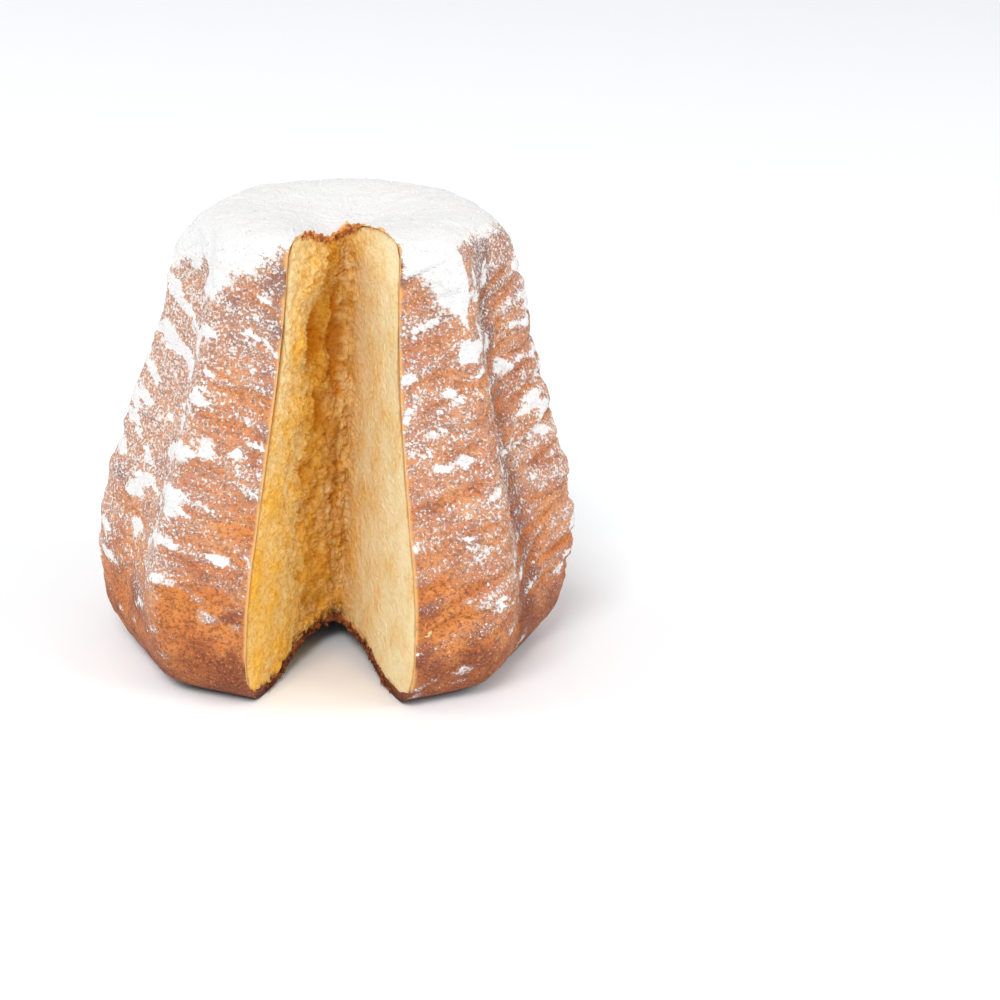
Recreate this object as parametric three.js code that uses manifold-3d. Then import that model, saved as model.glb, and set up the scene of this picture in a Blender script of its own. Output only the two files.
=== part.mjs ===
// A pandoro: a tall sweet loaf baked in an eight-pointed star mould and stood on its wide end, with one of
// its eight points cut out. The loaf is one baked piece, so it is one closed solid.
// Units are millimetres. +Z is up, the table is at Z = 0 and the missing point faced -Y. The origin is the
// middle of the loaf's footprint box.
import * as THREE from "three";
import { mergeVertices } from "three/addons/utils/BufferGeometryUtils.js";
import Module from "manifold-3d";

const HEIGHT = 210;
const BELLY_RADIUS = 112; // from the axis to the tip of a point, at the loaf's widest height
const POINTS = 8; // points of the star
const LEAN = 6.5; // how far the middle of the top stands to the right of the middle of the base

// The loaf's side from the foot ring up to the crown's rim. Each row is one level: its height as a share of
// HEIGHT, the radius at a ridge as a share of BELLY_RADIUS, and the radius in a valley as a share of the
// ridge's. The low rows round the baked dome under the mould's rim and the high ones the star's shoulders.
const LEVELS = [
  { height: 0.0, ridge: 0.79, valley: 0.95 },
  { height: 0.03, ridge: 0.875, valley: 0.945 },
  { height: 0.09, ridge: 0.95, valley: 0.925 },
  { height: 0.18, ridge: 0.985, valley: 0.89 },
  { height: 0.28, ridge: 1.0, valley: 0.85 },
  { height: 0.4, ridge: 0.955, valley: 0.82 },
  { height: 0.55, ridge: 0.87, valley: 0.81 },
  { height: 0.7, ridge: 0.785, valley: 0.81 },
  { height: 0.82, ridge: 0.728, valley: 0.825 },
  { height: 0.9, ridge: 0.688, valley: 0.845 },
  { height: 0.955, ridge: 0.64, valley: 0.9 },
  { height: 0.985, ridge: 0.58, valley: 0.96 },
  { height: 0.997, ridge: 0.5, valley: 1.0 },
  { height: 1.0, ridge: 0.41, valley: 1.0 },
];
const HOLLOW = 10; // how far the middle of the base is sunk, so that the loaf stands on a ring
const HOLLOW_RADII = [0, 34, 44, 54, 64, 72]; // mesh rings across the base, from the axis to the foot ring
const DISH = 5; // how far the middle of the crown sits below its rim
const DISH_RADII = [36, 26, 16, 0]; // mesh rings across the crown, from the rim to the axis
const FLANK_SOFTNESS = 0.7; // 0 gives flat flanks with sharp edges, 1 gives a smooth wave
const RIDGE_NARROWING = 1.5; // above 1 the wave's ridges are narrower than its valleys
const SWELL = 0.011; // uneven rise of the dough, as a share of the radius

const COLUMNS = 96; // mesh columns round the loaf, a multiple of twice POINTS
const ROWS_PER_LEVEL = 2;

const POINT_ANGLE = (2 * Math.PI) / POINTS;
const CUT_REACH = 1.5 * BELLY_RADIUS; // the cut runs out past every point
const CUT_OVERSHOOT = 10; // and past the table and the crown
const CUT_STEPS = 14;
// The cut's plan near the axis, where the slice tore away instead of being sliced: each corner's radius and
// its angle as a share of half the cut, at the ends, and how far it draws back from the axis midway up.
const TORN_CORNERS = [
  { radius: 11, angle: -1, drawnBack: 24 },
  { radius: 6, angle: 0, drawnBack: 9 },
  { radius: 9, angle: 1, drawnBack: 3 },
];
const CRUST_COLOUR = 0xb4713f;

// A value of LEVELS at a height, eased between the two levels around it.
function levelValue(name, height) {
  const share = THREE.MathUtils.clamp(height / HEIGHT, 0, 1);
  const above = Math.max(1, LEVELS.findIndex((level) => level.height >= share));
  const [low, high] = [LEVELS[above - 1], LEVELS[above]];
  const t = (share - low.height) / (high.height - low.height);
  return THREE.MathUtils.lerp(low[name], high[name], t);
}

// The radius at an angle from a ridge as a share of the ridge's radius: a straight flank from ridge to
// valley, mixed with a wave that rounds both and hollows the flank.
function starShare(angle, valley) {
  const half = POINT_ANGLE / 2;
  const turned = THREE.MathUtils.euclideanModulo(angle, POINT_ANGLE);
  const fromRidge = Math.min(turned, POINT_ANGLE - turned);
  const flat = (valley * Math.sin(half)) / (Math.sin(fromRidge) + valley * Math.sin(half - fromRidge));
  const rise = Math.pow(0.5 + 0.5 * Math.cos((Math.PI * fromRidge) / half), RIDGE_NARROWING);
  const wave = valley + (1 - valley) * rise;
  return THREE.MathUtils.lerp(flat, wave, FLANK_SOFTNESS);
}

// The slow unevenness of a risen loaf, so that no two points are alike.
function swelling(angle, height) {
  const climb = height / HEIGHT;
  return 1 + SWELL * (Math.sin(3 * angle + 5 * climb) + 0.6 * Math.sin(5 * angle - 7 * climb + 1));
}

// Half of the loaf's upright section, from the axis at the sunk base to the axis at the dished crown.
function sideProfile() {
  const corners = LEVELS.map(
    ({ ridge, height }) => new THREE.Vector2(ridge * BELLY_RADIUS, height * HEIGHT),
  );
  const rows = ROWS_PER_LEVEL * (LEVELS.length - 1);
  const side = new THREE.SplineCurve(corners).getPoints(rows);
  const base = HOLLOW_RADII.map((radius) => {
    const out = THREE.MathUtils.smoothstep(radius, HOLLOW_RADII[1], HOLLOW_RADII.at(-1));
    return new THREE.Vector2(radius, HOLLOW * (1 - out));
  });
  const crown = DISH_RADII.map((radius) => {
    const out = THREE.MathUtils.smoothstep(radius, 0, corners.at(-1).x);
    return new THREE.Vector2(radius, HEIGHT - DISH * (1 - out));
  });
  return [...base, ...side, ...crown];
}

// The whole loaf: the profile turned about the axis, then each ring drawn in to a star and leaned over.
function wholeLoaf() {
  const geometry = new THREE.LatheGeometry(sideProfile(), COLUMNS);
  geometry.rotateX(Math.PI / 2);
  const position = geometry.attributes.position;
  const vertex = new THREE.Vector3();
  for (let i = 0; i < position.count; i++) {
    vertex.fromBufferAttribute(position, i);
    const angle = Math.atan2(vertex.x, -vertex.y);
    const share = starShare(angle, levelValue("valley", vertex.z)) * swelling(angle, vertex.z);
    const lean = (LEAN * vertex.z) / HEIGHT;
    position.setXYZ(i, vertex.x * share + lean, vertex.y * share, vertex.z);
  }
  return geometry;
}

// A point of the cut's plan, at a radius and at an angle given as a share of half the cut.
function planPoint(radius, angleShare) {
  const angle = (angleShare * POINT_ANGLE) / 2;
  return new THREE.Vector2(radius * Math.sin(angle), -radius * Math.cos(angle));
}

// The room of the missing point: two knife cuts along the valleys, and a torn end that draws back from
// the axis midway up.
function cutOut() {
  const corners = TORN_CORNERS.map((corner) => planPoint(corner.radius, corner.angle));
  const plan = new THREE.Shape([planPoint(CUT_REACH, -1), ...corners, planPoint(CUT_REACH, 1)]);
  const depth = HEIGHT + 2 * CUT_OVERSHOOT;
  const geometry = new THREE.ExtrudeGeometry(plan, { depth, steps: CUT_STEPS, bevelEnabled: false });
  geometry.translate(0, 0, -CUT_OVERSHOOT);
  const position = geometry.attributes.position;
  for (let i = 0; i < position.count; i++) {
    const [x, y, z] = [position.getX(i), position.getY(i), position.getZ(i)];
    const corner = corners.findIndex((point) => Math.hypot(point.x - x, point.y - y) < 0.01);
    const climb = THREE.MathUtils.clamp(z / HEIGHT, 0, 1);
    const lean = LEAN * climb;
    if (corner < 0) {
      position.setX(i, x + lean);
      continue;
    }
    const tear = Math.sin(Math.PI * Math.pow(climb, 0.8));
    const growth = 1 + (TORN_CORNERS[corner].drawnBack * tear) / TORN_CORNERS[corner].radius;
    position.setXY(i, x * growth + lean, y * growth);
  }
  return geometry;
}

// manifold-3d's solid of a closed three.js geometry, and the way back.
function toSolid(wasm, geometry) {
  const bare = new THREE.BufferGeometry().setAttribute("position", geometry.attributes.position);
  bare.setIndex(geometry.index);
  const merged = mergeVertices(bare, 1e-3);
  const vertProperties = merged.attributes.position.array;
  const triVerts = new Uint32Array(merged.index.array);
  return new wasm.Manifold(new wasm.Mesh({ numProp: 3, vertProperties, triVerts }));
}

function toGeometry(solid) {
  const mesh = solid.getMesh();
  const geometry = new THREE.BufferGeometry();
  geometry.setAttribute("position", new THREE.BufferAttribute(mesh.vertProperties, mesh.numProp));
  geometry.setIndex(new THREE.BufferAttribute(mesh.triVerts, 1));
  geometry.computeVertexNormals();
  return geometry;
}

const wasm = await Module();
wasm.setup();

const loafSolid = toSolid(wasm, wholeLoaf()).subtract(toSolid(wasm, cutOut()));
const crust = new THREE.MeshStandardMaterial({ color: CRUST_COLOUR, roughness: 0.85, metalness: 0 });
const loaf = new THREE.Mesh(toGeometry(loafSolid), crust);
loaf.name = "pandoro";

// The star's axis stands behind the middle of the footprint, because a point is missing in front.
const footprint = new THREE.Box3().setFromObject(loaf);
const middle = footprint.getCenter(new THREE.Vector3());
loaf.position.set(-middle.x, -middle.y, -footprint.min.z);

const pandoro = new THREE.Group();
pandoro.add(loaf);

export default pandoro;
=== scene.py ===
"""A pandoro dusted with icing sugar, standing on its wide end, with one of its eight points cut out.

The crust is a thin baked skin over the sides, crown and base. The crumb lines the cut, a knife-cut face on
either side and a torn end between them, in two pieces that meet in the cut's deepest line. The icing sugar
is loose grains on the crust, over the fine dusting that the crust's own finish carries. The flakes are bits
of dark crust along the cut's edges. Lengths are in metres.
"""

import logging
import math
from dataclasses import dataclass
from enum import Enum
from typing import Callable

import bmesh
import bpy
import numpy as np
from mathutils import Matrix, Vector, noise


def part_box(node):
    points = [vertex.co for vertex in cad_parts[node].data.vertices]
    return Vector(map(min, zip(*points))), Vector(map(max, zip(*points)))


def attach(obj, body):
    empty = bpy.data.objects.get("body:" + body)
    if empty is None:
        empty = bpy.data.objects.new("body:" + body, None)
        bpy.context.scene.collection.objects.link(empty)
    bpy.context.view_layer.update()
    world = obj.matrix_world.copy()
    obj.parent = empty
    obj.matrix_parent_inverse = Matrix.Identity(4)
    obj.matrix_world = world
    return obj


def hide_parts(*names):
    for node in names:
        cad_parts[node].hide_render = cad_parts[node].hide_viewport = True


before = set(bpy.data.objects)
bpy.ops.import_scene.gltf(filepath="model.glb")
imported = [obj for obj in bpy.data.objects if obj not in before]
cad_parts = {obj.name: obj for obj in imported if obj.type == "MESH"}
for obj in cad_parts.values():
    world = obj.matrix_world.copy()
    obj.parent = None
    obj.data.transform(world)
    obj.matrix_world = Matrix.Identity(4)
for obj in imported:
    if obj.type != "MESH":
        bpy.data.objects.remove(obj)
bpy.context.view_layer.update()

log = logging.getLogger("pandoro")

NODE = "pandoro"
BODY = "root"
MM = 0.001
TINY = 1e-6  # keeps a division by a radius away from zero


# Small helpers for work on meshes


def clear_selection() -> None:
    """Leaves edit mode and deselects everything."""
    if bpy.context.object is not None and bpy.context.object.mode != "OBJECT":
        bpy.ops.object.mode_set(mode="OBJECT")
    bpy.ops.object.select_all(action="DESELECT")


def work_on(piece: bpy.types.Object) -> None:
    """Makes one object the only selected and active one.

    Args:
        piece: the object to work on.
    """
    clear_selection()
    piece.select_set(True)
    bpy.context.view_layer.objects.active = piece


def open_mesh(piece: bpy.types.Object, kind: str = "VERT") -> None:
    """Enters edit mode on a piece with nothing selected.

    Args:
        piece: the object whose mesh is edited.
        kind: what is selected in it: VERT, EDGE or FACE.
    """
    work_on(piece)
    bpy.ops.object.mode_set(mode="EDIT")
    bpy.ops.mesh.select_mode(type=kind)
    bpy.ops.mesh.select_all(action="DESELECT")


def close_mesh() -> None:
    """Goes back to object mode."""
    bpy.ops.object.mode_set(mode="OBJECT")


def pick(piece: bpy.types.Object, kind: str, wanted: Callable[[object], bool]) -> None:
    """Opens a piece's mesh and selects the wanted parts of it and nothing else.

    Args:
        piece: the object to edit.
        kind: what is selected in it: VERT, EDGE or FACE.
        wanted: says of a vertex, edge or face whether it is selected.
    """
    open_mesh(piece, kind)
    sheet = bmesh.from_edit_mesh(piece.data)
    parts = {"VERT": sheet.verts, "EDGE": sheet.edges, "FACE": sheet.faces}[kind]
    for part in [part for part in parts if wanted(part)]:
        part.select_set(True)
    sheet.select_flush_mode()
    bmesh.update_edit_mesh(piece.data)


def pick_open_edges(piece: bpy.types.Object) -> None:
    """Opens a piece's mesh and selects its open edges.

    Args:
        piece: the object to edit.
    """
    open_mesh(piece, "EDGE")
    bpy.ops.mesh.select_non_manifold(extend=False, use_boundary=True, use_wire=False,
                                     use_multi_face=False, use_non_contiguous=False, use_verts=False)


def read(items: bpy.types.bpy_prop_collection, name: str, width: int = 1) -> np.ndarray:
    """Reads one value of every vertex or face.

    Args:
        items: the vertices, the faces or an attribute's data.
        name: the value to read.
        width: how many numbers it holds.

    Returns:
        One number per item, or one row where width is more than 1.
    """
    values = np.empty(len(items) * width, np.float32)
    items.foreach_get(name, values)
    return values.astype(float).reshape((-1, width) if width > 1 else -1)


def coordinates(piece: bpy.types.Object) -> np.ndarray:
    """The places of a piece's vertices, one row each."""
    return read(piece.data.vertices, "co", 3)


def place_vertices(piece: bpy.types.Object, places: np.ndarray) -> None:
    """Moves a piece's vertices to new places, one row each."""
    piece.data.vertices.foreach_set("co", places.astype(np.float32).ravel())
    piece.data.update()


def store(piece: bpy.types.Object, name: str, values: np.ndarray) -> None:
    """Keeps one number from 0 to 1 per vertex on a piece for its finish to read."""
    layer = piece.data.attributes.new(name, "FLOAT", "POINT")
    layer.data.foreach_set("value", np.clip(values, 0.0, 1.0).astype(np.float32))


def settle(piece: bpy.types.Object, axis: tuple[float, float], material: bpy.types.Material) -> None:
    """Moves a piece out to the star's axis, smooths its shading and gives it its one finish.

    Args:
        piece: the piece, modelled about the world's upright axis.
        axis: the X and Y of the star's axis.
        material: the finish.
    """
    place_vertices(piece, coordinates(piece) + np.array([*axis, 0.0]))
    work_on(piece)
    bpy.ops.object.shade_smooth()
    piece.data.materials.clear()
    piece.data.materials.append(material)


# Smooth steps and noise


def ease(low: float, high: float, value: np.ndarray) -> np.ndarray:
    """A smooth step from 0 at low to 1 at high.

    Args:
        low: where the step starts.
        high: where it ends; it may be less than low for a falling step.
        value: the numbers to step.

    Returns:
        Numbers from 0 to 1.
    """
    share = np.clip((np.asarray(value, float) - low) / (high - low), 0.0, 1.0)
    return share * share * (3.0 - 2.0 * share)


def cell(place: np.ndarray) -> tuple[list[float], list[Vector]]:
    """The distances to the nearest points of a loose packing, and the points."""
    return noise.voronoi(Vector(place))


@dataclass(frozen=True)
class Grain:
    """Smooth uneven noise, about -1 to 1: its width along each axis, its finer layers and its shift."""

    size: tuple[float, float, float]
    octaves: int
    shift: float = 0.0

    def at(self, places: np.ndarray) -> np.ndarray:
        """The noise at places, one number per row."""
        scaled = (places + self.shift) / np.array(self.size)
        return np.array([noise.fractal(Vector(place), 0.9, 2.1, self.octaves) for place in scaled])


@dataclass(frozen=True)
class Pits:
    """Round hollows of uneven size: their distance apart, their radius as a share of it, and a shift."""

    size: float
    mouth: float
    shift: float = 0.0

    def at(self, places: np.ndarray) -> np.ndarray:
        """The depth at places, from 0 outside a hollow to 1 in the middle of a large one.

        Args:
            places: one row per place.

        Returns:
            One number per place.
        """
        depth = np.zeros(len(places))
        for i, place in enumerate((places + self.shift) / self.size):
            away, centres = cell(place)
            grown = 0.5 + 0.5 * noise.noise(centres[0] * 3.7)
            reach = self.mouth * (0.45 + 0.9 * grown)
            depth[i] = max(0.0, 1.0 - away[0] / reach) ** 0.7 * grown
        return depth


@dataclass(frozen=True)
class Granules:
    """Rounded lumps packed together with sharp creases between them: their width and a shift."""

    size: float
    shift: float

    def at(self, places: np.ndarray) -> np.ndarray:
        """The height at places, from below 0 in a crease to 1 on top of a lump."""
        return np.array([1.0 - 1.5 * cell(place)[0][0] ** 2 for place in (places + self.shift) / self.size])


# The shape of the loaf


@dataclass(frozen=True)
class Level:
    """One level of the loaf's side: its height, ridge radius and valley radius as shares."""

    height: float
    ridge: float
    valley: float


@dataclass(frozen=True)
class LoafShape:
    """The star-shaped loaf: a side profile turned about an axis and drawn in between eight points.

    A turn is an angle from the missing point, positive to the right. A reach is a radius from the star's
    axis, which leans over to the right. A climb is a height above the table.
    """

    height: float = 0.210
    belly_radius: float = 0.112
    points: int = 8
    lean: float = 0.0065
    flank_softness: float = 0.7
    ridge_narrowing: float = 1.5
    swell: float = 0.011
    hollow: float = 0.010
    hollow_start: float = 0.034
    foot_start: float = 0.072
    dish: float = 0.005
    shoulder: float = 0.88
    crumble: float = 0.0065
    crumble_reach: float = 0.022
    crumble_length: float = 0.019
    crumble_width: float = 0.009
    levels: tuple[Level, ...] = (
        Level(0.0, 0.79, 0.95),
        Level(0.03, 0.875, 0.945),
        Level(0.09, 0.95, 0.925),
        Level(0.18, 0.985, 0.89),
        Level(0.28, 1.0, 0.85),
        Level(0.4, 0.955, 0.82),
        Level(0.55, 0.87, 0.81),
        Level(0.7, 0.785, 0.81),
        Level(0.82, 0.728, 0.825),
        Level(0.9, 0.688, 0.845),
        Level(0.955, 0.64, 0.90),
        Level(0.985, 0.58, 0.96),
        Level(0.997, 0.5, 1.0),
        Level(1.0, 0.41, 1.0),
    )

    @property
    def point_angle(self) -> float:
        """The angle from one point to the next."""
        return 2 * math.pi / self.points

    @property
    def half(self) -> float:
        """The angle from the middle of the missing point to either cut."""
        return self.point_angle / 2

    def polar(self, places: np.ndarray) -> tuple[np.ndarray, np.ndarray, np.ndarray]:
        """The turns, reaches and climbs of places, one row each."""
        x = places[:, 0] - self.lean * places[:, 2] / self.height
        return np.arctan2(x, -places[:, 1]), np.hypot(x, places[:, 1]), places[:, 2]

    def placed(self, turn: np.ndarray, reach: np.ndarray, climb: np.ndarray) -> np.ndarray:
        """The places at turns, reaches and climbs, one row each."""
        lean = self.lean * climb / self.height
        return np.stack([reach * np.sin(turn) + lean, -reach * np.cos(turn), climb], -1)

    def axis_offset(self) -> tuple[float, float]:
        """Where the star's axis meets the table.

        The missing point leaves the axis behind the middle of the footprint. The outermost places of the
        whole notched star are compared with the frame's own box to find by how much.

        Returns:
            The axis's X and Y.
        """
        angles = np.linspace(self.half, 2 * math.pi - self.half, 721)
        turn, climb = np.meshgrid(angles, np.linspace(0, 1, 201) * self.height)
        places = self.placed(turn, self.radius(turn, climb), climb)
        own = (places.min((0, 1)) + places.max((0, 1))) / 2
        low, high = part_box(NODE)
        middle = (low + high) / 2
        return middle.x - own[0], middle.y - own[1]

    def side(self, climb: np.ndarray) -> np.ndarray:
        """The radius at a ridge, before the dough's uneven swelling: a smooth curve through the levels.

        Args:
            climb: heights.

        Returns:
            Radii.
        """
        levels = [(level.ridge * self.belly_radius, level.height * self.height) for level in self.levels]
        corners = np.array(levels)
        steps = np.linspace(0, len(corners) - 1, 1301)
        low = np.clip(steps.astype(int), 0, len(corners) - 2)
        t = (steps - low)[:, None]
        before, start = corners[np.maximum(low - 1, 0)], corners[low]
        end, after = corners[low + 1], corners[np.minimum(low + 2, len(corners) - 1)]
        v0, v1 = (end - before) / 2, (after - start) / 2
        bend = (2 * (start - end) + v0 + v1) * t**3 + (-3 * (start - end) - 2 * v0 - v1) * t**2
        curve = bend + v0 * t + start
        order = np.argsort(curve[:, 1])
        return np.interp(climb, curve[order, 1], curve[order, 0])

    def valley(self, climb: np.ndarray) -> np.ndarray:
        """A valley's radius as a share of the ridge's, at climbs."""
        heights = [level.height * self.height for level in self.levels]
        return np.interp(climb, heights, [level.valley for level in self.levels])

    def off_ridge(self, turn: np.ndarray) -> np.ndarray:
        """The angle from the nearest ridge, at turns."""
        turned = np.mod(turn, self.point_angle)
        return np.minimum(turned, self.point_angle - turned)

    def star(self, turn: np.ndarray, valley: np.ndarray) -> np.ndarray:
        """The radius as a share of the ridge's.

        Args:
            turn: angles from the missing point.
            valley: the valley's share at each.

        Returns:
            Shares from the valley's up to 1.
        """
        off = self.off_ridge(turn)
        flat = valley * math.sin(self.half) / (np.sin(off) + valley * np.sin(self.half - off))
        rise = (0.5 + 0.5 * np.cos(math.pi * off / self.half)) ** self.ridge_narrowing
        wave = valley + (1 - valley) * rise
        return flat + (wave - flat) * self.flank_softness

    def swelling(self, turn: np.ndarray, climb: np.ndarray) -> np.ndarray:
        """The slow unevenness of a risen loaf, as a factor on the radius."""
        share = climb / self.height
        return 1 + self.swell * (np.sin(3 * turn + 5 * share) + 0.6 * np.sin(5 * turn - 7 * share + 1))

    def radius(self, turn: np.ndarray, climb: np.ndarray) -> np.ndarray:
        """The loaf's radius at turns and climbs."""
        return self.side(climb) * self.star(turn, self.valley(climb)) * self.swelling(turn, climb)

    def sunk(self, reach: np.ndarray) -> np.ndarray:
        """The height of the base at reaches."""
        return self.hollow * (1 - ease(self.hollow_start, self.foot_start, reach))

    def dished(self, reach: np.ndarray) -> np.ndarray:
        """The height of the crown inside its rim, at reaches."""
        rim = self.levels[-1].ridge * self.belly_radius
        return self.height - self.dish * (1 - ease(0.0, rim, reach))

    def top(self, reach: np.ndarray, turn: float) -> np.ndarray:
        """The height of the loaf's upper side, crown and shoulder, at reaches along one turn."""
        climb = np.linspace(1.0, self.shoulder, 61) * self.height
        shoulder = np.interp(reach, self.radius(np.full_like(climb, turn), climb), climb)
        return np.minimum(self.dished(reach), shoulder)

    def crumbled(self, turn: np.ndarray, reach: np.ndarray) -> np.ndarray:
        """How far the crown has crumbled down round the left cut.

        Args:
            turn: angles from the missing point.
            reach: radii from the axis.

        Returns:
            Depths below the whole crown.
        """
        along = (reach * np.cos(turn + self.half) - self.crumble_reach) / self.crumble_length
        beside = reach * np.sin(turn + self.half) / self.crumble_width
        return self.crumble * np.exp(-(along**2) - beside**2)


@dataclass(frozen=True)
class TornEnd:
    """The inner end of the cut, where the slice tore away: three corners, left to right."""

    radii: tuple[float, ...] = (0.011, 0.006, 0.009)
    drawn_back: tuple[float, ...] = (0.024, 0.009, 0.003)

    def corners(self, shape: LoafShape, climb: np.ndarray) -> list[np.ndarray]:
        """The corners' plans at heights.

        Args:
            shape: the loaf.
            climb: heights above the table.

        Returns:
            For each corner, one row of X and Y from the axis per height.
        """
        tear = np.sin(math.pi * np.clip(climb / shape.height, 0, 1) ** 0.8)
        made = []
        for index, (radius, back) in enumerate(zip(self.radii, self.drawn_back)):
            turn = (index - 1) * shape.half
            reach = radius + back * tear
            made.append(np.stack([reach * math.sin(turn), -reach * math.cos(turn)], 1))
        return made


# Finishes

Colour = tuple[float, float, float, float]


@dataclass(frozen=True)
class Cloud:
    """Noise stepped into patches: its feature size, finer layers, the step's two ends and the patches'
    strength, and how much closer the features are along each axis."""

    size: float
    detail: float
    low: float
    high: float
    share: float = 1.0
    squash: tuple[float, float, float] = (1, 1, 1)


class Finish:
    """A material under construction, with short calls for its nodes."""

    def __init__(self, name: str) -> None:
        """Starts an empty material with one shader.

        Args:
            name: the material's name.
        """
        self.material = bpy.data.materials.new(name)
        self.material.use_nodes = True
        self.nodes = self.material.node_tree.nodes
        self.links = self.material.node_tree.links
        self.shader = self.nodes["Principled BSDF"]
        self.place = self.nodes.new("ShaderNodeTexCoord").outputs["Object"]

    def _feed(self, socket: bpy.types.NodeSocket, value: object) -> None:
        """Links a node's output to a socket, or sets the socket's own value."""
        if isinstance(value, bpy.types.NodeSocket):
            self.links.new(value, socket)
        else:
            socket.default_value = value

    def number(self, operation: str, first: object, second: object) -> bpy.types.NodeSocket:
        """One step of arithmetic, kept between 0 and 1.

        Args:
            operation: the Math node's operation.
            first: a socket or a number.
            second: a socket or a number.

        Returns:
            The result's socket.
        """
        node = self.nodes.new("ShaderNodeMath")
        node.operation, node.use_clamp = operation, True
        self._feed(node.inputs[0], first)
        self._feed(node.inputs[1], second)
        return node.outputs[0]

    def times(self, first: object, second: object) -> bpy.types.NodeSocket:
        """The product of two values, kept between 0 and 1."""
        return self.number("MULTIPLY", first, second)

    def step(self, value: object, low: float, high: float) -> bpy.types.NodeSocket:
        """A smooth step of a value from 0 at low to 1 at high.

        Args:
            value: the socket to step.
            low: where the step starts.
            high: where it ends.

        Returns:
            The result's socket.
        """
        node = self.nodes.new("ShaderNodeMapRange")
        node.interpolation_type = "SMOOTHSTEP"
        self._feed(node.inputs["Value"], value)
        node.inputs["From Min"].default_value, node.inputs["From Max"].default_value = low, high
        return node.outputs["Result"]

    def noise(self, size: float, detail: float, squash: tuple = (1, 1, 1)) -> bpy.types.NodeSocket:
        """Cloudy noise with features of about a size.

        Args:
            size: the width of a feature.
            detail: how many finer layers it has.
            squash: how much closer its features are along each axis.

        Returns:
            The noise's socket.
        """
        mapping = self.nodes.new("ShaderNodeMapping")
        mapping.inputs["Scale"].default_value = squash
        self.links.new(self.place, mapping.inputs["Vector"])
        node = self.nodes.new("ShaderNodeTexNoise")
        self.links.new(mapping.outputs[0], node.inputs["Vector"])
        node.inputs["Scale"].default_value = 1 / size
        node.inputs["Detail"].default_value = detail
        node.inputs["Roughness"].default_value = 0.6
        return node.outputs["Fac"]

    def patches(self, cloud: Cloud) -> bpy.types.NodeSocket:
        """A cloud's patches, from 0 beside them to the cloud's share inside."""
        shown = self.step(self.noise(cloud.size, cloud.detail, cloud.squash), cloud.low, cloud.high)
        return self.times(shown, cloud.share)

    def kept(self, name: str) -> bpy.types.NodeSocket:
        """A number that the piece keeps for each vertex."""
        node = self.nodes.new("ShaderNodeAttribute")
        node.attribute_name = name
        return node.outputs["Fac"]

    def blend(self, share: object, first: object, second: object) -> bpy.types.NodeSocket:
        """A mix of two colours.

        Args:
            share: how much of the second shows.
            first: a colour or a socket.
            second: a colour or a socket.

        Returns:
            The mixed colour's socket.
        """
        node = self.nodes.new("ShaderNodeMix")
        node.data_type = "RGBA"
        self._feed(node.inputs["Factor"], share)
        self._feed(node.inputs[6], first)
        self._feed(node.inputs[7], second)
        return node.outputs[2]

    def relief(self, height: object, depth: float, under: object = None) -> bpy.types.NodeSocket:
        """A fine relief that only bends the light.

        Args:
            height: the relief's height, from 0 to 1.
            depth: how tall 1 is.
            under: a relief that this one lies on.

        Returns:
            The bent normal's socket.
        """
        node = self.nodes.new("ShaderNodeBump")
        node.inputs["Distance"].default_value = depth
        node.inputs["Strength"].default_value = 1.0
        self._feed(node.inputs["Height"], height)
        if under is not None:
            self.links.new(under, node.inputs["Normal"])
        return node.outputs[0]

    def finish(self, colour: object, roughness: object, normal: object = None) -> bpy.types.Material:
        """Joins the colour, roughness and relief to the shader.

        Args:
            colour: the base colour.
            roughness: a number or a socket.
            normal: the relief, if any.

        Returns:
            The finished material.
        """
        self._feed(self.shader.inputs["Base Color"], colour)
        self._feed(self.shader.inputs["Roughness"], roughness)
        self.shader.inputs["Specular IOR Level"].default_value = 0.25
        if normal is not None:
            self.links.new(normal, self.shader.inputs["Normal"])
        return self.material


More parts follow.
